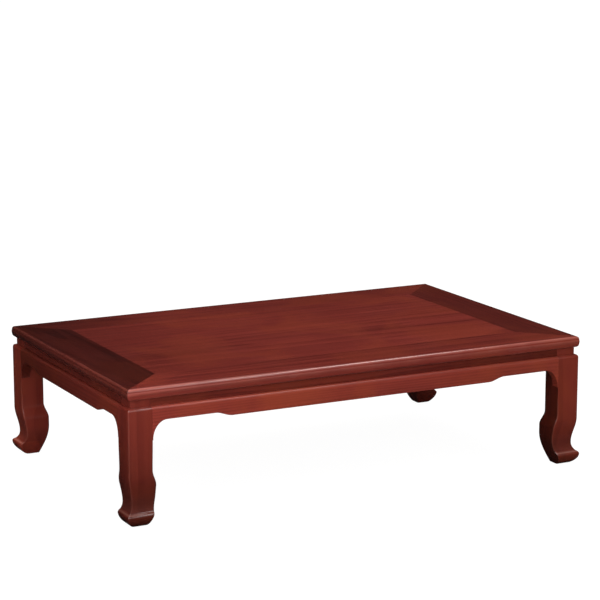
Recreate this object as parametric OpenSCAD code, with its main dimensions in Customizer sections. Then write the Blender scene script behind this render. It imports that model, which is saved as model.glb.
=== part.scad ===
// Low table for a tatami room: a mitred frame top with a flush centre panel, a recessed waist,
// four aprons with swept ends, and four legs that end in a curled hoof foot.
// X runs along the long side, Y along the depth, Z up. The origin is on the floor, under the centre.

/* [Overall] */
// Length of the top along the long side
table_l = 1200; // [900:10:1500]
// Depth of the top along the short side
table_d = 750; // [600:10:900]
// Height from the floor to the top surface
table_h = 322; // [300:1:400]

/* [Top] */
// Thickness of the frame rails
rail_t = 28; // [25:0.5:34]
// Width of a frame rail
rail_w = 117; // [110:1:135]
// Radius of the upper arris of the moulded edge
edge_top_r = 8; // [2:0.5:9]
// Radius of the lower arris of the moulded edge
edge_low_r = 10; // [3:0.5:12]
// Swell of the edge between its two arrises
edge_swell = 1; // [0.5:0.25:2]
// Thickness of the centre panel
panel_t = 12; // [10:0.5:14]
// Thickness of the tongue around the panel
tongue_t = 5; // [4:0.5:6]
// Reach of that tongue into the frame
tongue_l = 8; // [6:0.5:10]
// Wood of the frame above the tongue
tongue_drop = 4; // [3:0.5:5]

/* [Waist] */
// Height of the waist under the top
waist_h = 17.5; // [15:0.5:24]
// How far the waist stands back from the edge of the top
waist_in = 10.5; // [8:0.5:13]
// Thickness of the tongue under each waist strip
waist_tongue_t = 5; // [4:0.5:6]
// Reach of that tongue into the apron
waist_tongue_l = 5; // [4:0.5:6]

/* [Aprons] */
// How far aprons and legs stand back from the edge of the top
apron_in = 1.5; // [1:0.1:4]
// Thickness of an apron
apron_t = 23; // [21:0.5:26]
// Height of an apron at its middle
apron_h = 42; // [38:0.5:50]
// How much the lower edge rises towards the legs
apron_lift = 10; // [4:0.5:11]
// Distance from the leg to the middle of that rise, on a long side
step_at_long = 177; // [100:1:190]
// The same distance on a short side
step_at_short = 108; // [80:1:120]
// Length of the rise
step_l = 44; // [30:1:60]
// Width of the swept end beside the leg
sweep_w = 37; // [24:1:50]
// Height of the swept end down the leg
sweep_h = 45; // [30:1:60]
// Thickness left at the tip of the swept end
sweep_tip = 1.2; // [1:0.1:2]
// Radius of the upper arris of aprons and legs
arris_r = 7.5; // [3:0.5:8]

/* [Legs] */
// Width of the square leg
leg_w = 59; // [53:1:66]
// Chamfer along the four corners of the leg
leg_chamfer = 3; // [2:0.5:5]
// Width of the foot where it meets the floor
pad_w = 31; // [27:0.5:36]
// How far the pad stands back from the outer faces
pad_in = 17; // [13:0.5:20]
// How far the curled toe stands out of the outer faces
toe_out = 5.5; // [3:0.5:8]
// Height of the toe
toe_z = 26; // [20:1:30]
// How full the hoof is under the toe, where 1 is a plain curve and less is fuller
hoof_full = 0.6; // [0.5:0.05:1]
// How fast the hollow opens above the toe, where 1 is straight and more is faster
toe_flare = 2.5; // [1.5:0.1:3]
// Depth of the hollow above the toe
ankle_in = 9.5; // [6:0.5:14]
// Height of that hollow
ankle_z = 54; // [46:1:62]
// Height at which the outer faces run straight again
calf_z = 118; // [104:1:140]
// How far the inner faces swell behind the hollow
knee_out = 9.5; // [6:0.5:12]
// Height at which that swell is full
knee_low_z = 75; // [64:1:80]
// Height at which it ends
knee_top_z = 92; // [86:1:98]
// Height at which the inner faces run straight again
knee_end_z = 130; // [120:1:145]

/* [Joints] */
// Length of an apron tenon
tenon_l = 24; // [18:1:28]
// Thickness of an apron tenon
tenon_t = 10; // [8:0.5:12]
// Wood left above and below an apron tenon
tenon_shoulder = 6; // [5:0.5:8]
// Side of the square tenon on top of a leg
top_tenon_w = 26; // [22:1:30]
// Height of that tenon
top_tenon_h = 13; // [10:0.5:15]
// Length of the loose tongue across a mitre
spline_l = 60; // [50:1:64]
// Width of the loose tongue along a mitre
spline_w = 48; // [40:1:52]
// Thickness of the loose tongue
spline_t = 6; // [5:0.5:8]
// Wood of the rail above the loose tongue
spline_drop = 13; // [11:0.5:14]
// Wood of the rail between the loose tongue and the panel
spline_cover = 4; // [3:0.5:6]
// Room left behind the end of a tenon, tongue or spline
end_room = 0.5; // [0.3:0.1:1]

/* [Under the top] */
// Width of a cross batten
batten_w = 36; // [28:1:50]
// Height of a cross batten
batten_h = 24; // [20:1:30]
// Reach of its stub tenon into a long rail
batten_tenon_l = 10; // [8:0.5:14]
// Thickness of that tenon
batten_tenon_t = 8; // [6:0.5:8]
// Number of battens
batten_count = 3; // [2:1:4]
// Length of a corner block along each apron
block_l = 84; // [76:1:110]
// Height of a corner block
block_h = 26; // [20:1:27]
// Thickness of a corner block at its ends
block_end = 12; // [10:1:16]
// Width of a button
button_w = 34; // [26:1:40]
// Length of a button under the rail
button_l = 36; // [30:1:44]
// Thickness of a button
button_t = 14; // [13:0.5:14.5]
// Thickness of its tongue
button_tongue_t = 5; // [4:0.5:6]
// Reach of its tongue into the waist
button_tongue_l = 5; // [4:0.5:6]
// Room between a button and the waist
button_room = 1; // [0.5:0.1:2]
// Distance from the corner of the top to the nearest button
button_end = 200; // [170:5:240]
// Buttons on a long side
buttons_long = 3; // [2:1:4]
// Buttons on a short side
buttons_short = 2; // [2:1:3]

/* [Screws] */
// Diameter of the shank
screw_d = 4; // [3.5:0.1:4.5]
// Height of the head, in shank diameters
screw_head_ratio = 0.75; // [0.6:0.05:0.9]
// Length of the pointed tip, in shank diameters
screw_tip_ratio = 1.5; // [1:0.1:2]
// Length of the screws of the corner blocks into the aprons
block_screw_l = 28; // [24:1:32]
// Wood of a corner block under the head of such a screw
block_screw_seat = 14; // [12:1:18]
// Length of the screws of the corner blocks into the legs
leg_screw_l = 70; // [60:1:80]
// Length of the screws of the buttons
button_screw_l = 24; // [20:1:28]
// Length of the screws of the battens
batten_screw_l = 30; // [26:1:32]
// Screws in each batten
batten_screws = 3; // [2:1:4]
// Distance from the end of a batten to its nearest screw
batten_screw_end = 60; // [30:5:90]

/* [Hidden] */
SIDES = ["front", "right", "back", "left"];
CORNERS = ["front_left", "front_right", "back_right", "back_left"];
RAILS = [for (s = SIDES) str("rail_", s)];
WAISTS = [for (s = SIDES) str("waist_", s)];
APRONS = [for (s = SIDES) str("apron_", s)];
LEGS = [for (c = CORNERS) str("leg_", c)];
SPLINES = [for (c = CORNERS) str("spline_", c)];
BLOCKS = [for (c = CORNERS) str("corner_block_", c)];
BATTENS = [for (i = [1:batten_count]) str("batten_", i)];
BUTTONS = [for (k = [0:3]) [for (i = [1:button_count(k)]) str("button_", SIDES[k], "_", i)]];
SCREWS = ["corner_block_screws", "button_screws", "batten_screws"];

// Facets of a quarter arc and of a swept curve
ARC_STEPS = 6;
CURVE_STEPS = 12;
// Facets of the foot's outline below the toe, in the hollow above it, and from there up
HOOF_STEPS = 8;
HOLLOW_STEPS = 9;
CALF_STEPS = 20;
// A cut runs this far past the face that it opens
PAST = 1;
// Facets of a screw
$fn = 32;

// Heights of the construction
under_z = table_h - rail_t;
waist_z = under_z - waist_h;
apron_low_z = waist_z - apron_h;
apron_high_z = apron_low_z + apron_lift;
sweep_z = apron_high_z - sweep_h;
panel_z = table_h - panel_t;
tongue_z = table_h - tongue_drop - tongue_t;
spline_z = table_h - spline_drop - spline_t;
block_z = waist_z - block_h;
tenon_z = apron_high_z + tenon_shoulder;
tenon_top_z = waist_z - tenon_shoulder;
groove_z = under_z - (button_t + button_tongue_t) / 2;
batten_z = panel_z - batten_h;
batten_tenon_z = (under_z + tongue_z - batten_tenon_t) / 2;

// Distances from the edge of the top towards the middle
leg_in = apron_in + leg_w;
apron_back = apron_in + apron_t;
waist_t = apron_back - waist_in;
waist_mid = waist_in + waist_t / 2;
block_reach = leg_in + block_l;
button_front = apron_back + button_room;
button_screw_in = button_front + button_l / 2;

// Where a loose tongue starts along its mitre, from the corner of the top
spline_start = sqrt(2) * (rail_w - spline_cover) - spline_w - spline_l / 2;

// The post that a leg carries through the waist, from the outer faces of the leg
post_in = waist_in - apron_in;
post_mid = (post_in + leg_w) / 2;

// The clear opening of the frame, which the panel fills
opening_l = table_l - 2 * rail_w;
opening_d = table_d - 2 * rail_w;

WOOD = [0.42, 0.18, 0.13];
END_WOOD = [0.36, 0.15, 0.11];
INNER_WOOD = [0.62, 0.45, 0.3];
STEEL = [0.7, 0.7, 0.68];

// Half the length of side k, and the distance from the centre to its edge
function half_run(k) = (k % 2 == 0 ? table_l : table_d) / 2;
function reach(k) = (k % 2 == 0 ? table_d : table_l) / 2;
function button_count(k) = k % 2 == 0 ? buttons_long : buttons_short;
function button_x(k, i) = (half_run(k) - button_end) * (2 * (i - 1) / (button_count(k) - 1) - 1);
function batten_x(i) = opening_l * (i / (batten_count + 1) - 0.5);
function screw_y(i) = (opening_d - 2 * batten_screw_end) * (i / (batten_screws - 1) - 0.5);

// Points on an arc about c, from angle a to angle b
function arc(c, r, a, b) = [
    for (i = [0:ARC_STEPS]) c + r * [cos(a + (b - a) * i / ARC_STEPS), sin(a + (b - a) * i / ARC_STEPS)]
];
// An even rise from 0 to 1, level at both ends
function ease(t) = t <= 0 ? 0 : t >= 1 ? 1 : (1 - cos(180 * t)) / 2;

// The outer face of a leg at height z, measured inwards from the straight of the leg
function outer_face(z) =
    z < toe_z ? (pad_in + toe_out) * (1 - pow(sin(90 * z / toe_z), hoof_full)) - toe_out
    : z < ankle_z ? ankle_in - (ankle_in + toe_out) * pow((ankle_z - z) / (ankle_z - toe_z), toe_flare)
    : ankle_in * (1 - ease((z - ankle_z) / (calf_z - ankle_z)));

// The inner face of a leg at height z, measured from the same plane
function inner_face(z) =
    z < knee_low_z ? pad_in + pad_w + (leg_w + knee_out - pad_in - pad_w) * sin(90 * z / knee_low_z)
    : leg_w + knee_out * (1 - ease((z - knee_top_z) / (knee_end_z - knee_top_z)));

foot_top_z = max(calf_z, knee_end_z);
FOOT_Z = concat(
    [for (i = [0:HOOF_STEPS]) toe_z * i / HOOF_STEPS],
    [for (i = [1:HOLLOW_STEPS]) toe_z + (ankle_z - toe_z) * i / HOLLOW_STEPS],
    [for (i = [1:CALF_STEPS]) ankle_z + (foot_top_z - ankle_z) * i / CALF_STEPS]
);
OUTER = concat(
    [for (z = FOOT_Z) [outer_face(z), z]],
    arc([arris_r, waist_z - arris_r], arris_r, 180, 90)
);
INNER = concat([for (z = FOOT_Z) [inner_face(z), z]], [[leg_w, waist_z]]);

// Lower edge of an apron at distance s from the leg, for a rise whose middle is at step_at
function lower_edge(s, step_at) = apron_high_z - apron_lift * ease((s - step_at) / step_l + 0.5);

// Places its children on side k: X along the side, Y inwards from the edge of the top
module on_side(k) {
    rotate([0, 0, 90 * k])
        translate([0, -reach(k), 0])
            children();
}

// Places its children at corner k: X and Y inwards from the corner of the top
module at_corner(k) {
    translate([(k == 0 || k == 3 ? -1 : 1) * table_l / 2, (k < 2 ? -1 : 1) * table_d / 2, 0])
        rotate([0, 0, 90 * k])
            children();
}

// Runs a section, drawn inwards and up, along X
module along(l) {
    rotate([90, 0, 90])
        linear_extrude(height = l, center = true)
            children();
}

// A countersunk wood screw, head at the origin and tip at +Z, or its hole where there is room above
module wood_screw(l, above) {
    head_r = screw_d;
    shank_r = screw_d / 2;
    shank_top = screw_d * screw_head_ratio;
    shank_end = l - screw_d * screw_tip_ratio;
    rotate_extrude()
        polygon(concat(
            above > 0 ? [[0, -above], [head_r, -above]] : [[0, 0]],
            [[head_r, 0], [shank_r, shank_top], [shank_r, shank_end], [0, l]]
        ));
}

// The three screws of a corner block, or their holes where there is room above the heads
module block_screw_set(above) {
    block_mid_z = block_z + block_h / 2;
    wing_x = block_reach - block_end;
    head_in = apron_back + block_screw_seat;
    face_in = (block_reach + apron_back + block_end) / 2;
    translate([wing_x, head_in, block_mid_z])
        rotate([90, 0, 0])
            wood_screw(block_screw_l, above);
    translate([head_in, wing_x, block_mid_z])
        rotate([0, -90, 0])
            wood_screw(block_screw_l, above);
    translate([face_in, face_in, block_mid_z])
        rotate([0, 0, 45])
            rotate([0, -90, 0])
                wood_screw(leg_screw_l, above);
}

// The screws of the buttons on side k, or their holes where there is room above the heads
module button_screw_set(k, above) {
    for (i = [1:button_count(k)])
        translate([button_x(k, i), button_screw_in, under_z - button_t])
            wood_screw(button_screw_l, above);
}

// The screws of batten i, or their holes where there is room above the heads
module batten_screw_set(i, above) {
    for (j = [0:batten_screws - 1])
        translate([batten_x(i), screw_y(j), batten_z])
            wood_screw(batten_screw_l, above);
}

// The loose tongue across a mitre, or its slot where there is room to spare
module spline_body(room) {
    rotate([0, 0, 45])
        translate([spline_start - room, -spline_l / 2 - room, spline_z])
            cube([spline_w + 2 * room, spline_l + 2 * room, spline_t]);
}

// Section of a rail: moulded edge at the left, panel groove at the right
module rail_section() {
    difference() {
        polygon(concat(
            [[rail_w, rail_t], [rail_w, 0]],
            arc([edge_swell + edge_low_r, edge_low_r], edge_low_r, 270, 180),
            [for (i = [1:ARC_STEPS - 1])
                [edge_swell * (1 - sin(180 * i / ARC_STEPS)),
                 edge_low_r + (rail_t - edge_low_r - edge_top_r) * i / ARC_STEPS]],
            arc([edge_swell + edge_top_r, rail_t - edge_top_r], edge_top_r, 180, 90)
        ));
        translate([rail_w - tongue_l - end_room, tongue_z - under_z])
            square([tongue_l + end_room + PAST, tongue_t]);
    }
}

module rail(k) {
    half = half_run(k);
    color(k % 2 == 0 ? WOOD : END_WOOD)
        difference() {
            on_side(k)
                intersection() {
                    translate([0, 0, under_z])
                        along(2 * half)
                            rail_section();
                    linear_extrude(height = table_h + PAST)
                        polygon([[-half, 0], [half, 0], [half - rail_w, rail_w], [rail_w - half, rail_w]]);
                }
            for (c = [k, (k + 1) % 4])
                at_corner(c) {
                    translate([apron_in, apron_in, 0])
                        leg_top_tenon(end_room);
                    spline_body(end_room);
                }
            if (k % 2 == 0)
                for (i = [1:batten_count])
                    batten_tenons(i, end_room);
            on_side(k)
                button_screw_set(k, PAST);
        }
}

module centre_panel() {
    color(WOOD)
        difference() {
            union() {
                translate([-opening_l / 2, -opening_d / 2, panel_z])
                    cube([opening_l, opening_d, panel_t]);
                translate([-opening_l / 2 - tongue_l, -opening_d / 2 - tongue_l, tongue_z])
                    cube([opening_l + 2 * tongue_l, opening_d + 2 * tongue_l, tongue_t]);
            }
            for (i = [1:batten_count])
                batten_screw_set(i, PAST);
        }
}

module spline(k) {
    color(INNER_WOOD)
        at_corner(k)
            spline_body(0);
}

// The stub tenons at both ends of batten i, or their mortises where there is room to spare
module batten_tenons(i, room) {
    translate([
        batten_x(i) - batten_w / 2,
        -opening_d / 2 - batten_tenon_l - room,
        batten_tenon_z
    ])
        cube([batten_w, opening_d + 2 * (batten_tenon_l + room), batten_tenon_t]);
}

module batten(i) {
    color(INNER_WOOD)
        difference() {
            union() {
                translate([batten_x(i) - batten_w / 2, -opening_d / 2, batten_z])
                    cube([batten_w, opening_d, batten_h]);
                batten_tenons(i, 0);
            }
            batten_screw_set(i, PAST);
        }
}

// Section of a waist strip: tongue below, groove for the buttons at the back
module waist_section() {
    difference() {
        union() {
            translate([waist_in, waist_z])
                square([waist_t, waist_h]);
            translate([waist_mid - waist_tongue_t / 2, waist_z - waist_tongue_l])
                square([waist_tongue_t, waist_tongue_l + waist_h]);
        }
        translate([apron_back - button_tongue_l, groove_z - end_room])
            square([button_tongue_l + PAST, button_tongue_t + end_room]);
    }
}

module waist(k) {
    color(WOOD)
        on_side(k)
            along(2 * (half_run(k) - leg_in))
                waist_section();
}

// Section of an apron with its rounded upper arris
module apron_section() {
    polygon(concat(
        [[apron_back, waist_z], [apron_back, sweep_z], [apron_in, sweep_z]],
        arc([apron_in + arris_r, waist_z - arris_r], arris_r, 180, 90)
    ));
}

// Section of the groove in an apron for the tongue of the waist
module waist_groove() {
    depth = waist_tongue_l + end_room;
    translate([waist_mid - waist_tongue_t / 2, waist_z - depth])
        square([waist_tongue_t, depth + PAST]);
}

// Outline of an apron seen from the front, for half its length a
module apron_outline(a, step_at) {
    half = concat(
        [[a, waist_z], [a, sweep_z], [a - sweep_tip, sweep_z]],
        [for (i = [1:CURVE_STEPS - 1])
            [a - sweep_tip - (sweep_w - sweep_tip) * (1 - cos(90 * i / CURVE_STEPS)),
             sweep_z + sweep_h * sin(90 * i / CURVE_STEPS)]],
        [[a - sweep_w, apron_high_z]],
        [for (i = [0:CURVE_STEPS])
            let(s = step_at + step_l * (i / CURVE_STEPS - 0.5))
            [a - s, lower_edge(s, step_at)]]
    );
    count = len(half);
    polygon(concat(half, [for (i = [1:count]) [-half[count - i].x, half[count - i].y]]));
}

module apron(k) {
    a = half_run(k) - leg_in;
    tenon_in = apron_in + (apron_t - tenon_t) / 2;
    color(WOOD)
        difference() {
            on_side(k)
                union() {
                    intersection() {
                        along(2 * a)
                            apron_section();
                        translate([0, apron_back + PAST, 0])
                            rotate([90, 0, 0])
                                linear_extrude(height = apron_t + 2 * PAST)
                                    apron_outline(a, k % 2 == 0 ? step_at_long : step_at_short);
                    }
                    translate([-a - tenon_l, tenon_in, tenon_z])
                        cube([2 * (a + tenon_l), tenon_t, tenon_top_z - tenon_z]);
                }
            on_side(k)
                along(2 * a)
                    waist_groove();
            for (c = [k, (k + 1) % 4])
                at_corner(c)
                    block_screw_set(PAST);
        }
}

// Runs an outline of the leg across it, far enough to cut the whole section
module leg_slab(points) {
    rotate([90, 0, 0])
        linear_extrude(height = 4 * leg_w, center = true)
            polygon(points);
}

// Joins the outer and the inner outline into one closed outline, each scaled and moved for its plane
module leg_profile(outer, inner) {
    count = len(inner);
    leg_slab(concat(outer, [for (i = [1:count]) inner[count - i]]));
}

// The tenon on top of a leg, rooted in the leg, or its mortise where there is room above
module leg_top_tenon(room) {
    translate([post_mid - top_tenon_w / 2, post_mid - top_tenon_w / 2, tenon_top_z])
        cube([top_tenon_w, top_tenon_w, under_z + top_tenon_h + room - tenon_top_z]);
}

// The curved body of a leg: the same outline cut from two sides, with its four corners chamfered
module leg_body() {
    diagonal = 1 / sqrt(2);
    intersection() {
        leg_profile(OUTER, INNER);
        rotate([0, 0, 90])
            leg_profile(OUTER, INNER);
        rotate([0, 0, 45])
            leg_profile(
                [for (p = OUTER) [(2 * p.x + leg_chamfer) * diagonal, p.y]],
                [for (p = INNER) [(2 * p.x - leg_chamfer) * diagonal, p.y]]
            );
        rotate([0, 0, -45])
            leg_across(diagonal);
    }
}

// Chamfers the two corners at the sides of a leg, and fades out below the swept ends of the aprons
module leg_across(diagonal) {
    half = concat(
        [for (z = FOOT_Z) [(inner_face(z) - outer_face(z) - leg_chamfer) * diagonal, z]],
        [[(leg_w + PAST) * diagonal, sweep_z], [(leg_w + PAST) * diagonal, waist_z]]
    );
    count = len(half);
    leg_slab(concat(half, [for (i = [1:count]) [-half[count - i].x, half[count - i].y]]));
}

// The mortise for the apron that runs along X from the leg
module apron_mortise() {
    translate([leg_w - tenon_l - end_room, (apron_t - tenon_t) / 2, tenon_z])
        cube([tenon_l + end_room + PAST, tenon_t, tenon_top_z - tenon_z]);
}

module leg(k) {
    color(WOOD)
        at_corner(k)
            difference() {
                translate([apron_in, apron_in, 0])
                    difference() {
                        union() {
                            leg_body();
                            translate([post_in, post_in, waist_z])
                                cube([leg_w - post_in, leg_w - post_in, waist_h]);
                            leg_top_tenon(0);
                        }
                        apron_mortise();
                        mirror([1, -1, 0])
                            apron_mortise();
                    }
                block_screw_set(PAST);
            }
}

// A block behind a leg, notched round it and tapered to its two ends
module corner_block(k) {
    color(INNER_WOOD)
        at_corner(k)
            difference() {
                translate([0, 0, block_z])
                    linear_extrude(height = block_h)
                        polygon([
                            [leg_in, leg_in],
                            [leg_in, apron_back],
                            [block_reach, apron_back],
                            [block_reach, apron_back + block_end],
                            [apron_back + block_end, block_reach],
                            [apron_back, block_reach],
                            [apron_back, leg_in]
                        ]);
                block_screw_set(block_l);
            }
}

module button(k, i) {
    tongue_reach = button_room + button_tongue_l - end_room;
    color(INNER_WOOD)
        on_side(k)
            difference() {
                translate([button_x(k, i) - button_w / 2, 0, 0]) {
                    translate([0, button_front, under_z - button_t])
                        cube([button_w, button_l, button_t]);
                    translate([0, button_front - tongue_reach, groove_z])
                        cube([button_w, tongue_reach + button_l, button_tongue_t]);
                }
                button_screw_set(k, PAST);
            }
}

module corner_block_screws() {
    color(STEEL)
        for (k = [0:3])
            at_corner(k)
                block_screw_set(0);
}

module button_screws() {
    color(STEEL)
        for (k = [0:3])
            on_side(k)
                button_screw_set(k, 0);
}

module batten_screws() {
    color(STEEL)
        for (i = [1:batten_count])
            batten_screw_set(i, 0);
}

for (k = [0:3]) {
    rail(k);
    waist(k);
    apron(k);
    leg(k);
    spline(k);
    corner_block(k);
    for (i = [1:button_count(k)])
        button(k, i);
}
for (i = [1:batten_count])
    batten(i);
centre_panel();
corner_block_screws();
button_screws();
batten_screws();
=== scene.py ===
"""Low table for a tatami room, dressed for the camera.

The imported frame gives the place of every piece. The top, the aprons and the legs are built again
here in finer meshes, the joinery under the top is copied from the frame with its edges eased, and
every surface gets its own wood, lacquer or metal.

All sizes are in metres. X runs along the long side, Y along the depth, Z up.
"""

import logging
import math
from collections.abc import Sequence
from dataclasses import dataclass, field, replace
from enum import Enum

import bmesh
import bpy
from mathutils import Euler, Matrix, Vector


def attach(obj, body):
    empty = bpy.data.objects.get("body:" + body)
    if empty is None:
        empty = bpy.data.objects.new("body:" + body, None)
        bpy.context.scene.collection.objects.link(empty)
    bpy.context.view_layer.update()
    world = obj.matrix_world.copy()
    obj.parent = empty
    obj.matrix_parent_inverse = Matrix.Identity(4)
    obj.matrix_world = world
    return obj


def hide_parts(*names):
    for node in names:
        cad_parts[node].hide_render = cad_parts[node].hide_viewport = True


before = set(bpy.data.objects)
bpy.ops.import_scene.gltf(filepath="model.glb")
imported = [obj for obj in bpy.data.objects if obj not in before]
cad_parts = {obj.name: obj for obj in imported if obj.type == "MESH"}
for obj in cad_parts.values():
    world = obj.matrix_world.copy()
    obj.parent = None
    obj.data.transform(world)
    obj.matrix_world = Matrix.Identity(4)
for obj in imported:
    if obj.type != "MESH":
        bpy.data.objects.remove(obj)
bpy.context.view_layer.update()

log = logging.getLogger("low_table")

BODY = "root"
SIDES = ("front", "right", "back", "left")
CORNERS = ("front_left", "front_right", "back_right", "back_left")
QUARTER = math.pi / 2
LACQUER_IOR = 1.5
WHITE = (1.0, 1.0, 1.0)

# A colour, a place, and a point of a section with its wear
Colour = tuple[float, float, float]
Point = tuple[float, float, float]
SectionPoint = tuple[float, float, float]

Vert = bmesh.types.BMVert
Socket = bpy.types.NodeSocket
Material = bpy.types.Material
Piece = bpy.types.Object


class Grain(Enum):
    """The way that the grain of a piece runs, as the turn that lays it along X."""

    LENGTHWISE = (0.0, 0.0, 0.0)
    CROSSWISE = (0.0, 0.0, QUARTER)
    UPRIGHT = (0.0, QUARTER, 0.0)


# Curves shared by the pieces


def ease(t: float) -> float:
    """Gives an even rise from 0 to 1 that is level at both ends."""
    return 0.0 if t <= 0 else 1.0 if t >= 1 else (1 - math.cos(math.pi * t)) / 2


def follow(points: Sequence[tuple[float, float]], at: float) -> float:
    """Follows a smooth line through points.

    Args:
        points: The points of the line. The first and the last only steer it.
        at: Place along the line, between the second point and the last but one.

    Returns:
        The height of the line there.
    """
    k = max(1, max(i for i, point in enumerate(points[:-2]) if point[0] <= at))
    slopes = []
    for before, after in ((points[i - 1], points[i + 1]) for i in (k, k + 1)):
        slopes.append((after[1] - before[1]) / (after[0] - before[0]))
    (start, low), (end, high) = points[k], points[k + 1]
    run = end - start
    t = (at - start) / run
    near = (1 + 2 * t) * (1 - t) ** 2 * low + t * (1 - t) ** 2 * run * slopes[0]
    return near + t * t * (3 - 2 * t) * high - t * t * (1 - t) * run * slopes[1]


def arc(
    centre: tuple[float, float], radius: float, start: float, end: float, steps: int, worn: float
) -> list[SectionPoint]:
    """Draws an arc in a section.

    Args:
        centre: Its centre.
        radius: Its radius.
        start: The first angle, in degrees.
        end: The last angle, in degrees.
        steps: Number of facets.
        worn: How worn the middle of the arc is, from 0 to 1.

    Returns:
        The points of the arc, each with its wear.
    """
    points = []
    for i in range(steps + 1):
        angle = math.radians(start + (end - start) * i / steps)
        x = centre[0] + radius * math.cos(angle)
        y = centre[1] + radius * math.sin(angle)
        points.append((x, y, worn * math.sin(math.pi * i / steps)))
    return points


@dataclass(frozen=True)
class TableSizes:
    """Sizes that more than one piece of the table shares, as in the frame.

    Attributes:
        length: Length of the top.
        depth: Depth of the top.
        height: Height of the table.
        rail_t: Thickness of the rails.
        rail_w: Width of the rails.
        waist_h: Height of the waist.
        waist_in: Distance from the edge of the top to the waist.
        apron_in: Distance from the edge of the top to the aprons and legs.
        apron_t: Thickness of the aprons.
        leg_w: Width of the legs.
        arris_r: Radius of the upper arris of the aprons and legs.
    """

    length: float = 1.2
    depth: float = 0.75
    height: float = 0.322
    rail_t: float = 0.028
    rail_w: float = 0.117
    waist_h: float = 0.0175
    waist_in: float = 0.0105
    apron_in: float = 0.0015
    apron_t: float = 0.023
    leg_w: float = 0.059
    arris_r: float = 0.0075

    @property
    def under_z(self) -> float:
        """Height of the underside of the top."""
        return self.height - self.rail_t

    @property
    def waist_z(self) -> float:
        """Height of the top of the aprons and legs."""
        return self.under_z - self.waist_h

    @property
    def apron_back(self) -> float:
        """Distance from the edge of the top to the back of an apron."""
        return self.apron_in + self.apron_t

    @property
    def leg_in(self) -> float:
        """Distance from the edge of the top to the inner face of a leg."""
        return self.apron_in + self.leg_w

    def half_run(self, side: int) -> float:
        """Gives half the length of a side."""
        return (self.length if side % 2 == 0 else self.depth) / 2

    def on_side(self, side: int) -> Matrix:
        """Gives the placement of a side: X along it, Y inwards from the edge of the top."""
        reach = (self.depth if side % 2 == 0 else self.length) / 2
        return Matrix.Rotation(QUARTER * side, 4, "Z") @ Matrix.Translation((0, -reach, 0))

    def at_corner(self, corner: int) -> Matrix:
        """Gives the placement of a corner.

        Args:
            corner: The corner of the table.

        Returns:
            The placement, with X and Y inwards from the corner of the top.
        """
        x = (-1 if corner in (0, 3) else 1) * self.length / 2
        y = (-1 if corner < 2 else 1) * self.depth / 2
        return Matrix.Translation((x, y, 0)) @ Matrix.Rotation(QUARTER * corner, 4, "Z")


# Meshes


def put(name: str, data: bpy.types.ID) -> bpy.types.Object:
    """Puts a new object in the scene.

    Args:
        name: Its name.
        data: Its mesh, light or camera.

    Returns:
        The object.
    """
    thing = bpy.data.objects.new(name, data)
    bpy.context.scene.collection.objects.link(thing)
    return thing


class Draft:
    """A mesh in the making, with a mask of its worn arrises, which also carries painted sheen and highlights.

    Attributes:
        crease: Angle above which an edge counts as sharp.
        same_place: Distance below which two points of the frame are one.
        same_plane: Angle below which two faces of the frame are one.
        rounding: Number of facets across an eased edge.
    """

    crease: float = math.radians(35.0)
    same_place: float = 1e-6
    same_plane: float = math.radians(0.5)
    rounding: int = 2

    def __init__(self, name: str, place: Matrix | None = None) -> None:
        """Starts an empty mesh.

        Args:
            name: Name of the piece.
            place: Where its points go.
        """
        self.name = name
        self.place = place or Matrix.Identity(4)
        self.bm = bmesh.new()
        self.wear = self.bm.verts.layers.float.new("arris")

    def point(self, x: float, y: float, z: float, worn: float = 0.0) -> Vert:
        """Adds a point.

        Args:
            x: How far along it is, in the piece's own place.
            y: How far inwards it is.
            z: How high it is.
            worn: How worn it is, from 0 to 1.

        Returns:
            The point.
        """
        vert = self.bm.verts.new(self.place @ Vector((x, y, z)))
        vert[self.wear] = worn
        return vert

    def skin(self, rings: Sequence[Sequence[Vert]], capped: bool = True) -> None:
        """Joins closed rings of points into a tube.

        Args:
            rings: The rings, all with the same number of points.
            capped: Whether the first and the last ring are closed with a face.
        """
        for near, far in zip(rings, rings[1:]):
            for i in range(len(near)):
                j = (i + 1) % len(near)
                corners = list(dict.fromkeys((near[i], near[j], far[j], far[i])))
                if len(corners) > 2:
                    self.bm.faces.new(corners)
        if capped:
            self.bm.faces.new(rings[0][::-1])
            self.bm.faces.new(rings[-1])

    def copy_node(self, node: str) -> None:
        """Takes in the mesh of a node of the frame, with its flat faces made whole.

        Args:
            node: The node.
        """
        self.bm.from_mesh(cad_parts[node].data)
        bmesh.ops.remove_doubles(self.bm, verts=self.bm.verts, dist=self.same_place)
        bmesh.ops.dissolve_limit(
            self.bm, angle_limit=self.same_plane, verts=self.bm.verts, edges=self.bm.edges
        )

    def finish(self, material: Material, slot: str, nodes: Sequence[str], eased: float) -> Piece:
        """Turns the draft into a piece that stands for nodes of the frame.

        Args:
            material: Its finish.
            slot: The record's material slot for the piece. It is not used.
            nodes: The nodes that it replaces.
            eased: Width of the small round on its sharp edges.

        Returns:
            The piece.
        """
        bmesh.ops.recalc_face_normals(self.bm, faces=self.bm.faces)
        for face in self.bm.faces:
            face.smooth = True
        for edge in self.bm.edges:
            edge.smooth = edge.calc_face_angle(math.pi) < self.crease
        mesh = bpy.data.meshes.new(self.name)
        self.bm.to_mesh(mesh)
        self.bm.free()
        mesh.materials.append(material)
        piece = put(self.name, mesh)
        if eased > 0:
            bevel = piece.modifiers.new("eased_edges", "BEVEL")
            bevel.width = eased
            bevel.segments = self.rounding
            bevel.limit_method = "ANGLE"
            bevel.angle_limit = self.crease
            bevel.harden_normals = True
        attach(piece, BODY)
        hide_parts(*nodes)
        return piece


# Shader building


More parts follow.
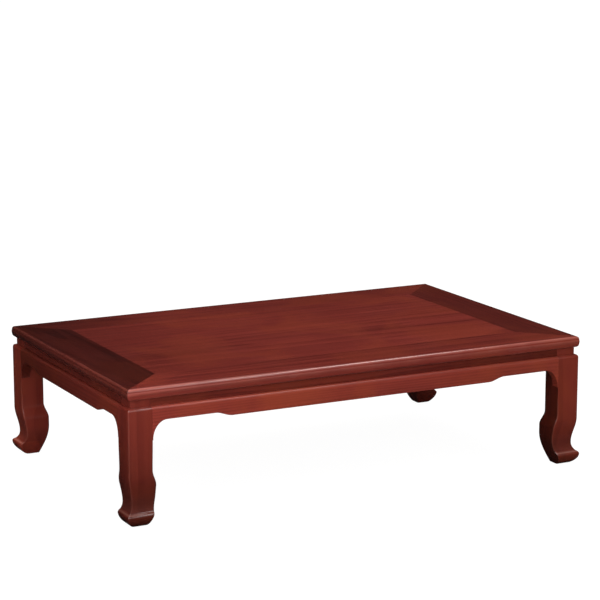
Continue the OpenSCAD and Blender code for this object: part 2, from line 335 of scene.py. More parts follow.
class Shader:
    """Short ways to add and join nodes in a tree."""

    def __init__(self, tree: bpy.types.NodeTree) -> None:
        """Takes over an empty tree.

        Args:
            tree: The tree.
        """
        self.tree = tree
        tree.nodes.clear()

    def add(self, kind: str, values: dict | None = None, **settings: object) -> bpy.types.Node:
        """Adds a node.

        Args:
            kind: Type of the node, without its prefix.
            values: Its inputs, by name or number. A socket is linked, anything else is set.
            **settings: Its properties.

        Returns:
            The node.
        """
        node = self.tree.nodes.new("ShaderNode" + kind)
        for key, value in settings.items():
            setattr(node, key, value)
        for key, value in (values or {}).items():
            if isinstance(value, Socket):
                self.tree.links.new(value, node.inputs[key])
            else:
                node.inputs[key].default_value = value
        return node

    def math(self, operation: str, *values: object) -> Socket:
        """Adds a sum of values or sockets and gives its result."""
        return self.add("Math", dict(enumerate(values)), operation=operation).outputs[0]

    def plus(self, a: object, b: object) -> Socket:
        """Adds two values or sockets."""
        return self.math("ADD", a, b)

    def times(self, a: object, b: object) -> Socket:
        """Multiplies two values or sockets."""
        return self.math("MULTIPLY", a, b)

    def ramp(
        self, factor: Socket, low: float, high: float, out: tuple[float, float] = (0.0, 1.0)
    ) -> Socket:
        """Maps a range of a factor smoothly to another range.

        Args:
            factor: The factor.
            low: Start of its range.
            high: End of its range.
            out: What the start and the end become.

        Returns:
            The mapped factor.
        """
        values = {"Value": factor, "From Min": low, "From Max": high, "To Min": out[0], "To Max": out[1]}
        return self.add("MapRange", values, interpolation_type="SMOOTHSTEP").outputs[0]

    def between(self, mask: Socket, off: float, on: float) -> Socket:
        """Goes smoothly from one value to another as a mask rises from 0 to 1."""
        return self.ramp(mask, 0.0, 1.0, (off, on))

    def noise(self, vector: Socket, scale: float, detail: float, distortion: float = 0.0) -> Socket:
        """Adds a noise and gives its factor."""
        values = {"Vector": vector, "Scale": scale, "Detail": detail, "Distortion": distortion}
        return self.add("TexNoise", values).outputs[0]

    def scale(self, colour: Socket, factor: object) -> Socket:
        """Makes a colour darker or lighter."""
        return self.add("VectorMath", {0: colour, "Scale": factor}, operation="SCALE").outputs[0]

    def mix(self, factor: object, a: object, b: object) -> Socket:
        """Mixes two colours."""
        return self.add("Mix", {0: factor, 6: a, 7: b}, data_type="RGBA").outputs[2]

    def bump(self, height: Socket, strength: float, distance: float) -> Socket:
        """Turns a height into the normal of a rough surface."""
        return self.add("Bump", {"Height": height, "Strength": strength, "Distance": distance}).outputs[0]

    def lay(self, place: Socket, grain: Grain, offset: Point) -> Socket:
        """Turns a place so that the grain runs along X, and moves it within the log."""
        return self.add("Mapping", {"Vector": place, "Rotation": grain.value, "Location": offset}).outputs[0]

    def group(self, tree: bpy.types.NodeTree, values: dict) -> bpy.types.Node:
        """Adds a group with its inputs."""
        return self.add("Group", values, node_tree=tree)

    def output(self, surface: bpy.types.Node) -> None:
        """Ends the tree of a material with its surface."""
        self.add("OutputMaterial", {"Surface": surface.outputs[0]})


class GroupShader(Shader):
    """A shader group in the making, with named inputs and outputs."""

    def __init__(self, name: str, inputs: dict[str, float | None]) -> None:
        """Starts a group.

        Args:
            name: Name of the group.
            inputs: Its inputs. A number is the value of one, None stands for a vector.
        """
        super().__init__(bpy.data.node_groups.new(name, "ShaderNodeTree"))
        for label, value in inputs.items():
            kind = "NodeSocketVector" if value is None else "NodeSocketFloat"
            socket = self.tree.interface.new_socket(label, in_out="INPUT", socket_type=kind)
            if value is not None:
                socket.default_value = value
        self.given = self.tree.nodes.new("NodeGroupInput").outputs

    def close(self, results: dict[str, Socket]) -> bpy.types.NodeTree:
        """Ends the group with its results.

        Args:
            results: What it puts out, all plain values.

        Returns:
            The group.
        """
        for label in results:
            self.tree.interface.new_socket(label, in_out="OUTPUT", socket_type="NodeSocketFloat")
        sink = self.tree.nodes.new("NodeGroupOutput")
        for label, socket in results.items():
            self.tree.links.new(socket, sink.inputs[label])
        return self.tree


def new_material(name: str) -> tuple[Material, Shader, Socket]:
    """Makes an empty material.

    Args:
        name: Its name.

    Returns:
        The material, its shader, and the place of each point of the piece.
    """
    material = bpy.data.materials.new(name)
    material.use_nodes = True
    s = Shader(material.node_tree)
    return material, s, s.add("TexCoord").outputs["Object"]


def rgba(colour: Colour) -> tuple[float, float, float, float]:
    """Gives a colour its full opacity."""
    return (*colour, 1.0)


@dataclass
class WoodGroups:
    """The effects that the wood finishes share, each a node group that is built once."""

    grain: bpy.types.NodeTree = field(init=False)
    wear: bpy.types.NodeTree = field(init=False)
    facing: bpy.types.NodeTree = field(init=False)

    def __post_init__(self) -> None:
        """Builds the groups."""
        self.grain = self.build_grain()
        self.wear = self.build_wear()
        self.facing = self.build_facing()

    def build_grain(self) -> bpy.types.NodeTree:
        """Builds the grain: growth rings cut along the board, fibres, and short open pores.

        Returns:
            The group. Its vector has the grain along X.
        """
        s = GroupShader("grain", {"Vector": None, "Ring width": 0.012, "Stretch": 0.06})
        squeeze = s.add("CombineXYZ", {"X": s.given["Stretch"], "Y": 1.0, "Z": 1.0}).outputs[0]
        long_way = s.add("VectorMath", {0: s.given["Vector"], 1: squeeze}, operation="MULTIPLY").outputs[0]
        lazy = s.add("TexNoise", {"Vector": long_way, "Scale": 9.0, "Detail": 2.0, "Roughness": 0.5})
        drift = s.scale(lazy.outputs["Color"], 0.09)
        wandering = s.add("VectorMath", {0: long_way, 1: drift}, operation="ADD").outputs[0]
        split = s.add("SeparateXYZ", {0: wandering}).outputs
        radius = s.math("SQRT", s.plus(s.times(split["Y"], split["Y"]), s.times(split["Z"], split["Z"])))
        year = s.math("FRACT", s.math("DIVIDE", radius, s.given["Ring width"]))
        late = s.times(s.ramp(year, 0.35, 0.95), s.ramp(year, 0.95, 1.0, (1.0, 0.0)))
        broad = s.noise(long_way, scale=26.0, detail=3.0, distortion=0.4)
        streak = s.noise(long_way, scale=140.0, detail=3.0, distortion=0.2)
        figure = s.plus(s.times(late, 0.3), s.plus(s.times(broad, 0.4), s.times(streak, 0.3)))
        fibre = s.noise(long_way, scale=900.0, detail=2.0)
        pores = s.ramp(s.noise(long_way, scale=1500.0, detail=1.0, distortion=0.1), 0.64, 0.74)
        return s.close({"Figure": figure, "Fibre": fibre, "Pores": pores})

    def build_wear(self) -> bpy.types.NodeTree:
        """Builds the wear of the arrises, broken up so that it is nowhere an even line.

        Returns:
            The group. Its mask is 1 where the lacquer is rubbed thin, and on the top's edge and the toes it
            also paints sheen and highlights.
        """
        s = GroupShader("arris_wear", {"Vector": None, "Arris": 0.0, "Amount": 0.5})
        cloud = s.noise(s.given["Vector"], scale=14.0, detail=3.0, distortion=0.5)
        rubbed = s.times(s.math("POWER", s.given["Arris"], 2.0), s.ramp(cloud, 0.2, 0.75, (0.5, 1.0)))
        return s.close({"Mask": s.math("MINIMUM", s.times(rubbed, s.given["Amount"]), 1.0)})

    def build_facing(self) -> bpy.types.NodeTree:
        """Builds the masks of the faces that look up, down and along X; the up and side masks carry painted
        shade.

        Returns:
            The group. The lower mask has a ragged edge, where the lacquer stops.
        """
        s = GroupShader("facing", {"Vector": None})
        normal = s.add("SeparateXYZ", {0: s.add("NewGeometry").outputs["Normal"]}).outputs
        up = s.ramp(normal["Z"], 0.8, 0.99)
        down = s.ramp(s.times(normal["Z"], -1.0), 0.9, 0.97)
        ragged = s.ramp(s.noise(s.given["Vector"], scale=20.0, detail=3.0), 0.2, 0.5, (0.75, 1.0))
        side = s.ramp(s.math("ABSOLUTE", normal["X"]), 0.5, 0.95)
        return s.close({"Up": up, "Down": s.times(down, ragged), "Side": side})


# Finishes


@dataclass(frozen=True)
class Stain:
    """Colours of a stained wood.

    Attributes:
        dark: Late wood and pores.
        middle: The body of the wood.
        light: Early wood.
        warm: Patches that took less stain.
        worn: Rubbed arrises; on the top and the toes it is also a painted sheen and highlight.
        raw: The same wood without stain.
        raw_late: How light its late wood is against that.
    """

    dark: Colour
    middle: Colour
    light: Colour
    warm: Colour
    worn: Colour = (0.3, 0.06, 0.036)
    raw: Colour = (0.26, 0.105, 0.062)
    raw_late: float = 0.6


# The worn colour of the top is pale pink: the wear mix also paints a sheen over the face of the top's edge
# and a highlight along its upper arris.
TOP_STAIN = Stain(
    dark=(0.085, 0.0116, 0.0086),
    middle=(0.15, 0.0207, 0.0156),
    light=(0.205, 0.0298, 0.0218),
    warm=(0.21, 0.0336, 0.0174),
    worn=(0.3, 0.088, 0.066),
)
BASE_STAIN = Stain(
    dark=(0.085, 0.011, 0.0071),
    middle=(0.15, 0.0195, 0.013),
    light=(0.205, 0.028, 0.018),
    warm=(0.215, 0.035, 0.0138),
)
# The worn colour of the legs is pale: at the lip of the toes the wear mix also paints a highlight.
LEG_STAIN = Stain(
    dark=(0.115, 0.0148, 0.0095),
    middle=(0.152, 0.0198, 0.0125),
    light=(0.185, 0.0255, 0.0155),
    warm=(0.205, 0.0345, 0.0128),
    worn=(0.36, 0.13, 0.095),
)


@dataclass(frozen=True)
class LacqueredWood:
    """Reddish brown wood under a gloss lacquer.

    Attributes:
        name: Name of the finish.
        grain: The way that the grain runs.
        stain: Its colours.
        tone: How light the board is against the others, partly its own colour and partly painted light and
            shade.
        up_painted_shade: How light its upper face is against its sides, a painted shade.
        painted_light_gradient: Painted light and shade along the board: the axis, the place where it differs
        most, the place from which it has its plain tone, and how light it is at the first of these.
        side_painted_shade: How light its faces across X are against those across Y, a painted shade.
        offset: Where in the log the board was cut.
        ring_width: Width of a growth ring.
        stretch: How long the figure is across the grain for its length along it.
        roughness: Roughness of the wood under the lacquer.
        coat: How much of the face the clear lacquer covers.
        up_coat: How much of that is left on its upper face, which is polished less than its edges.
        coat_roughness: Roughness of the clear lacquer.
        specular: Strength of the sheen of the wood under the lacquer.
        wear: How far the arrises are rubbed, which also paints sheen and highlights on the top and the toes.
        hollow: Heights between which the lacquer is dull, in the hollow above the toe.
        hollow_edges: Heights over which the dullness starts and ends.
        hollow_painted_shade: How light the wood is there, a painted shade in the hollow.
        hollow_rough: How much rougher it is there.
        bare_below: Whether the lacquer stops at the faces that look down.
    """

    name: str
    grain: Grain
    stain: Stain = BASE_STAIN
    tone: float = 1.0
    up_painted_shade: float = 1.0
    painted_light_gradient: tuple[str, float, float, float] | None = None
    side_painted_shade: float = 1.0
    offset: Point = (0.0, 0.31, 0.17)
    ring_width: float = 0.012
    stretch: float = 0.06
    roughness: float = 0.2
    coat: float = 1.0
    up_coat: float = 1.0
    coat_roughness: float = 0.07
    specular: float = 0.3
    wear: float = 0.4
    hollow: tuple[float, float] | None = None
    hollow_edges: tuple[float, float] = (0.002, 0.04)
    hollow_painted_shade: float = 0.8
    hollow_rough: float = 0.35
    bare_below: bool = False

    def shade(self, colour: Colour) -> tuple[float, float, float, float]:
        """Gives one of the wood's colours in the tone of this board."""
        return rgba(tuple(part * self.tone for part in colour))

    def paint_grain(self, s: Shader, laid: Socket, grain: bpy.types.Node) -> Socket:
        """Colours the wood by its figure, its patches and its pores.

        Args:
            s: The shader of the material.
            laid: The place of each point, with the grain along X.
            grain: The grain there.

        Returns:
            The colour.
        """
        stain = self.stain
        figure = grain.outputs["Figure"]
        lower = s.mix(s.ramp(figure, 0.2, 0.5), self.shade(stain.light), self.shade(stain.middle))
        wood = s.mix(s.ramp(figure, 0.5, 0.85), lower, self.shade(stain.dark))
        patch = s.ramp(s.noise(laid, scale=5.0, detail=3.0, distortion=0.6), 0.42, 0.68, (0.0, 0.55))
        wood = s.mix(patch, wood, self.shade(stain.warm))
        return s.mix(s.times(grain.outputs["Pores"], 0.45), wood, self.shade(stain.dark))

    def tone_board(self, s: Shader, place: Socket, facing: bpy.types.Node, colour: Socket) -> Socket:
        """Paints shade and light on the board by the way that its faces look and by the place along it.

        Args:
            s: The shader of the material.
            place: The place of each point.
            facing: The masks of the faces.
            colour: The colour of the wood.

        Returns:
            The toned colour.
        """
        # Painted shade: the upper faces are darker than the sides.
        if self.up_painted_shade != 1.0:
            colour = s.scale(colour, s.between(facing.outputs["Up"], 1.0, self.up_painted_shade))
        # Painted shade: the faces across X are darker than those across Y.
        if self.side_painted_shade != 1.0:
            colour = s.scale(colour, s.between(facing.outputs["Side"], 1.0, self.side_painted_shade))
        # Painted light and shade: the board grows darker or lighter along one axis.
        if self.painted_light_gradient:
            axis, start, plain, first_tone = self.painted_light_gradient
            along = s.add("SeparateXYZ", {0: place}).outputs[axis]
            uneven = s.plus(along, s.times(s.noise(place, scale=22.0, detail=3.0), 0.03))
            colour = s.scale(colour, s.ramp(uneven, start, plain, (first_tone, 1.0)))
        return colour

    def build(self, groups: WoodGroups) -> Material:
        """Builds the material.

        Args:
            groups: The shared effects.

        Returns:
            The material.
        """
        material, s, place = new_material(self.name)
        laid = s.lay(place, self.grain, self.offset)
        figure = {"Vector": laid, "Ring width": self.ring_width, "Stretch": self.stretch}
        grain = s.group(groups.grain, figure)
        fibre = grain.outputs["Fibre"]
        arris = s.add("Attribute", attribute_name="arris").outputs["Fac"]
        wear = s.group(groups.wear, {"Vector": place, "Arris": arris, "Amount": self.wear}).outputs["Mask"]
        facing = s.group(groups.facing, {"Vector": place})
        # Wear colour, which on the top's edge and the toes' lips is also a painted sheen and highlight.
        colour = s.mix(wear, self.paint_grain(s, laid, grain), self.shade(self.stain.worn))
        colour = self.tone_board(s, place, facing, colour)
        handled = s.ramp(s.noise(place, scale=7.0, detail=4.0, distortion=0.3), 0.3, 0.75, (-0.03, 0.05))
        rough = s.plus(s.plus(self.roughness, handled), s.times(fibre, 0.04))
        rough = s.plus(rough, s.times(wear, 0.12))
        coat: Socket | float = self.coat
        if self.hollow:
            low, high = self.hollow
            height = s.add("SeparateXYZ", {0: place}).outputs["Z"]
            below = s.ramp(height, low, low + self.hollow_edges[0])
            above = s.ramp(height, high, high + self.hollow_edges[1], (1.0, 0.0))
            dull = s.times(below, above)
            # Painted shade: the wood is darker in the hollow, where the lacquer is also dull.
            colour = s.scale(colour, s.between(dull, 1.0, self.hollow_painted_shade))
            rough = s.plus(rough, s.times(dull, self.hollow_rough))
            coat = s.between(dull, self.coat, 0.0)
        if self.bare_below:
            bare = facing.outputs["Down"]
            stain = self.stain
            late = rgba(tuple(part * stain.raw_late for part in stain.raw))
            raw = s.mix(s.ramp(grain.outputs["Figure"], 0.25, 0.8), rgba(stain.raw), late)
            colour = s.mix(bare, colour, raw)
            rough = s.plus(rough, s.times(bare, 0.4))
            polish = s.between(facing.outputs["Up"], self.coat, self.coat * self.up_coat)
            coat = s.times(s.math("SUBTRACT", 1.0, bare), polish)
        relief = s.plus(s.times(s.noise(place, scale=16.0, detail=2.0), 0.6), s.times(fibre, 0.06))
        relief = s.math("SUBTRACT", relief, s.times(grain.outputs["Pores"], 0.08))
        surface = s.add(
            "BsdfPrincipled",
            {
                "Base Color": colour,
                "Roughness": rough,
                "Normal": s.bump(relief, strength=0.3, distance=0.001),
                "IOR": LACQUER_IOR,
                "Specular IOR Level": self.specular,
                "Coat Weight": coat,
                "Coat Roughness": self.coat_roughness,
                "Coat IOR": LACQUER_IOR,
            },
        )
        s.output(surface)
        return material


TOP_WOOD = LacqueredWood(
    "lacquered_top", Grain.LENGTHWISE, TOP_STAIN, up_coat=0.4, specular=0.12, bare_below=True
)
# Painted shade: the panel is darker towards its left end.
PANEL_WOOD = replace(
    TOP_WOOD,
    name="lacquered_panel",
    tone=0.71,
    painted_light_gradient=("X", -0.6, -0.1, 0.7),
    offset=(1.3, 0.2, 0.05),
    ring_width=0.017,
)
# Painted light and shade on the rails: upper faces darker than edges, the front rail lighter and the back
# rail darker at the left end, the left rail much darker, partly as painted shade, and darker still towards
# the back.
RAIL_WOODS = (
    replace(
        TOP_WOOD,
        name="lacquered_front_rail",
        tone=0.8,
        up_painted_shade=0.73,
        painted_light_gradient=("X", -0.6, -0.35, 1.25),
        offset=(0.4, 0.46, 0.12),
        coat_roughness=0.08,
        wear=0.7,
    ),
    replace(
        TOP_WOOD,
        name="lacquered_right_rail",
        grain=Grain.CROSSWISE,
        tone=0.78,
        up_painted_shade=0.5,
        offset=(0.7, 0.9, 0.26),
    ),
    replace(
        TOP_WOOD,
        name="lacquered_back_rail",
        tone=0.96,
        up_painted_shade=0.68,
        painted_light_gradient=("X", -0.6, -0.1, 0.4),
        offset=(1.9, 0.16, 0.22),
    ),
    replace(
        TOP_WOOD,
        name="lacquered_left_rail",
        grain=Grain.CROSSWISE,
        tone=0.42,
        up_painted_shade=0.5,
        painted_light_gradient=("Y", 0.4, 0.0, 0.75),
        offset=(0.0, 0.52, 0.2),
    ),
)
# Painted light and shade on the aprons: the long ones are darker towards the right end, the end ones darker
# than the long ones, partly as painted shade, and darker still towards the back.
LONG_APRON_WOOD = LacqueredWood(
    "lacquered_long_apron",
    Grain.LENGTHWISE,
    tone=1.1,
    painted_light_gradient=("X", 0.7, -0.4, 0.82),
    offset=(0.9, 0.52, 0.31),
    ring_width=0.009,
    roughness=0.3,
    coat=0.25,
    coat_roughness=0.16,
    specular=0.2,
)
APRON_WOODS = (
    LONG_APRON_WOOD,
    replace(
        LONG_APRON_WOOD,
        name="lacquered_end_apron",
        grain=Grain.CROSSWISE,
        tone=0.67,
        painted_light_gradient=("Y", 0.35, -0.35, 0.6),
        offset=(0.2, 0.8, 0.34),
        coat=0.3,
    ),
)
# Painted shade on the waist strips: darker than the aprons, partly as painted shade under the top, and the
# long ones darker towards the right end.
WAIST_WOODS = (
    LacqueredWood(
        "lacquered_long_waist",
        Grain.LENGTHWISE,
        tone=0.64,
        painted_light_gradient=("X", 0.7, -0.3, 0.7),
        offset=(0.1, 0.6, 0.3),
        coat=0.6,
    ),
    LacqueredWood("lacquered_end_waist", Grain.CROSSWISE, tone=0.56, offset=(0.5, 0.9, 0.3), coat=0.6),
)
LEG_WOOD = LacqueredWood(
    "lacquered_leg",
    Grain.UPRIGHT,
    LEG_STAIN,
    ring_width=0.031,
    stretch=0.08,
    roughness=0.3,
    coat=0.85,
    coat_roughness=0.12,
    specular=0.12,
    wear=1.0,
    hollow=(0.034, 0.045),
)


@dataclass(frozen=True)
class PlanedWood:
    """Bare planed wood of the hidden pieces.

    Attributes:
        name: Name of the finish.
        grain: The way that the grain runs.
        offset: Where in the log the board was cut.
        light: Early wood.
        dark: Late wood and smudges.
        ring_width: Width of a growth ring.
        stretch: How long the figure is across the grain for its length along it.
    """

    name: str
    grain: Grain
    offset: Point = (0.0, 0.2, 0.1)
    light: Colour = (0.56, 0.37, 0.21)
    dark: Colour = (0.37, 0.215, 0.108)
    ring_width: float = 0.004
    stretch: float = 0.05

    def build(self, groups: WoodGroups) -> Material:
        """Builds the material.

        Args:
            groups: The shared effects.

        Returns:
            The material.
        """
        material, s, place = new_material(self.name)
        laid = s.lay(place, self.grain, self.offset)
        figure = {"Vector": laid, "Ring width": self.ring_width, "Stretch": self.stretch}
        grain = s.group(groups.grain, figure)
        fibre = grain.outputs["Fibre"]
        wood = s.mix(s.ramp(grain.outputs["Figure"], 0.25, 0.8), rgba(self.light), rgba(self.dark))
        smudge = s.ramp(s.noise(place, scale=12.0, detail=4.0), 0.35, 0.75, (0.0, 0.22))
        surface = s.add(
            "BsdfPrincipled",
            {
                "Base Color": s.mix(smudge, wood, rgba(self.dark)),
                "Roughness": s.plus(0.62, s.times(fibre, 0.16)),
                "Normal": s.bump(fibre, strength=0.4, distance=0.0004),
                "Specular IOR Level": 0.3,
            },
        )
        s.output(surface)
        return material


@dataclass(frozen=True)
class ZincSteel:
    """Zinc plated steel of the screws.

    Attributes:
        name: Name of the finish.
        bright: Clean zinc.
        dull: Clouded zinc.
    """

    name: str = "zinc_plated_steel"
    bright: Colour = (0.62, 0.6, 0.56)
    dull: Colour = (0.42, 0.41, 0.39)

    def build(self) -> Material:
        """Builds the material.

        Returns:
            The material.
        """
        material, s, place = new_material(self.name)
        cloud = s.ramp(s.noise(place, scale=900.0, detail=3.0), 0.35, 0.7)
        pits = s.noise(place, scale=2500.0, detail=2.0)
        surface = s.add(
            "BsdfPrincipled",
            {
                "Base Color": s.mix(cloud, rgba(self.bright), rgba(self.dull)),
                "Metallic": 1.0,
                "Roughness": s.plus(0.3, s.times(cloud, 0.18)),
                "Normal": s.bump(pits, strength=0.2, distance=0.0001),
            },
        )
        s.output(surface)
        return material


@dataclass(frozen=True)
class PaleFloor:
    """Smooth pale floor of the studio, lit from below as a light table is, so that shadows stay faint.

    Attributes:
        name: Name of the finish.
        tone: Its colour.
        clouding: How light its darker clouds are against that.
        lit: How much of what the camera sees is light from below.
        glow: Strength of that light.
    """

    name: str = "pale_floor"
    tone: Colour = (0.36, 0.36, 0.36)
    clouding: float = 0.985
    lit: float = 0.8
    glow: float = 1.22

    def build(self) -> Material:
        """Builds the material.

        Returns:
            The material.
        """
        material, s, place = new_material(self.name)
        darker = tuple(part * self.clouding for part in self.tone)
        colour = s.mix(s.noise(place, scale=3.0, detail=3.0), rgba(self.tone), rgba(darker))
        surface = s.add("BsdfPrincipled", {"Base Color": colour, "Roughness": 0.9, "Specular IOR Level": 0.1})
        glow = s.add("Emission", {"Color": rgba(WHITE), "Strength": self.glow})
        seen = s.times(s.add("LightPath").outputs["Is Camera Ray"], self.lit)
        s.output(s.add("MixShader", {0: seen, 1: surface.outputs[0], 2: glow.outputs[0]}))
        return material


# Pieces of the table


@dataclass
class TableTop:
    """The mitred frame of four rails and the panel that lies flush in it.

    Attributes:
        sizes: The shared sizes.
        groups: The shared effects.
        edge_top_r: Radius of the moulded edge at its top.
        edge_low_r: Radius of the moulded edge at its foot.
        edge_swell: How far the edge swells out in its middle.
        corner_r: Radius of the corners of the top.
        panel_t: Thickness of the panel.
        tongue_t: Thickness of the tongue round the panel.
        tongue_l: How far the tongue reaches into the rails.
        tongue_drop: Depth of the tongue below the top.
        eased: Width of the small round on sharp edges.
        arc_steps: Number of facets of each curve of the edge.
        corner_steps: Number of facets from a side to the mitre.
        low_wear: How worn the edge is at its foot.
        face_wear_and_sheen: How much more worn it gets up its face, which paints a sheen over the face.
        top_wear: How worn it is at its top, which also paints a highlight on the upper arris.
    """

    sizes: TableSizes
    groups: WoodGroups
    edge_top_r: float = 0.008
    edge_low_r: float = 0.01
    edge_swell: float = 0.001
    corner_r: float = 0.0034
    panel_t: float = 0.012
    tongue_t: float = 0.005
    tongue_l: float = 0.008
    tongue_drop: float = 0.004
    eased: float = 0.00015
    arc_steps: int = 14
    corner_steps: int = 3
    low_wear: float = 0.5
    face_wear_and_sheen: float = 0.3
    top_wear: float = 1.0

    def rail_section(self) -> list[SectionPoint]:
        """Draws the section of a rail.

        Returns:
            Its points, inwards from the edge and up from the underside, with their wear.
        """
        s = self.sizes
        groove_top = s.rail_t - self.tongue_drop
        groove_low = groove_top - self.tongue_t
        groove_in = s.rail_w - self.tongue_l
        section = [
            (s.rail_w, s.rail_t, 0.0),
            (s.rail_w, groove_top, 0.0),
            (groove_in, groove_top, 0.0),
            (groove_in, groove_low, 0.0),
            (s.rail_w, groove_low, 0.0),
            (s.rail_w, 0.0, 0.0),
        ]
        low_in = self.edge_swell + self.edge_low_r
        top_in = self.edge_swell + self.edge_top_r
        # The wear of the edge is also a painted sheen: it rises up the face and peaks on the upper arris as a
        # painted highlight.
        section += arc((low_in, self.edge_low_r), self.edge_low_r, 270, 180, self.arc_steps, self.low_wear)
        rise = s.rail_t - self.edge_low_r - self.edge_top_r
        for i in range(1, self.arc_steps):
            t = i / self.arc_steps
            inwards = self.edge_swell * (1 - math.sin(math.pi * t))
            section.append((inwards, self.edge_low_r + rise * t, self.low_wear + self.face_wear_and_sheen * t))
        centre = (top_in, s.rail_t - self.edge_top_r)
        section += arc(centre, self.edge_top_r, 180, 90, self.arc_steps, self.top_wear)
        return section

    def rail_end(self, half: float, inwards: float, turn: float) -> tuple[float, float]:
        """Finds a point of the rounded corner of the top.

        Args:
            half: Half the length of the rail.
            inwards: Distance of the point from the edge of the top.
            turn: How far round the corner it is, from 0 to 1 at the mitre.

        Returns:
            Its place along the rail and inwards.
        """
        r = self.corner_r
        if inwards >= r:
            return half - inwards, inwards
        angle = turn * math.pi / 4
        return half - r + (r - inwards) * math.sin(angle), r - (r - inwards) * math.cos(angle)

    def rail(self, side: int, finish: Material, slot: str) -> Piece:
        """Builds a rail.

        Args:
            side: The side of the table.
            finish: Its finish.
            slot: Its material slot.

        Returns:
            The rail.
        """
        s = self.sizes
        name = "rail_" + SIDES[side]
        draft = Draft("top_" + name, s.on_side(side))
        half = s.half_run(side)
        section = self.rail_section()
        ends = []
        for end in (-1, 1):
            rings: list[list[Vert]] = []
            for i in range(self.corner_steps + 1):
                ring = []
                for k, (inwards, up, worn) in enumerate(section):
                    x, y = self.rail_end(half, inwards, i / self.corner_steps)
                    shared = rings and inwards >= self.corner_r
                    ring.append(rings[0][k] if shared else draft.point(end * x, y, s.under_z + up, worn))
                rings.append(ring)
            ends.append(rings)
        draft.skin(ends[0][::-1] + ends[1])
        return draft.finish(finish, slot, [name], self.eased)

    def panel(self, finish: Material) -> Piece:
        """Builds the centre panel with the tongue around it.

        Args:
            finish: Its finish.

        Returns:
            The panel.
        """
        s = self.sizes
        half_x = s.length / 2 - s.rail_w
        half_y = s.depth / 2 - s.rail_w
        tongue_top = s.height - self.tongue_drop
        draft = Draft("top_centre_panel")
        rings = []
        for reach, z in (
            (0.0, s.height - self.panel_t),
            (0.0, tongue_top - self.tongue_t),
            (self.tongue_l, tongue_top - self.tongue_t),
            (self.tongue_l, tongue_top),
            (0.0, tongue_top),
            (0.0, s.height),
        ):
            x = half_x + reach
            y = half_y + reach
            rings.append([draft.point(px, py, z) for px, py in ((-x, -y), (x, -y), (x, y), (-x, y))])
        draft.skin(rings)
        return draft.finish(finish, "panel_wood", ["centre_panel"], self.eased)

    def build(self) -> list[Piece]:
        """Builds the top.

        Returns:
            Its pieces.
        """
        pieces = []
        for side, wood in enumerate(RAIL_WOODS):
            slot = "end_rail_wood" if side % 2 else "long_rail_wood"
            pieces.append(self.rail(side, wood.build(self.groups), slot))
        pieces.append(self.panel(PANEL_WOOD.build(self.groups)))
        return pieces


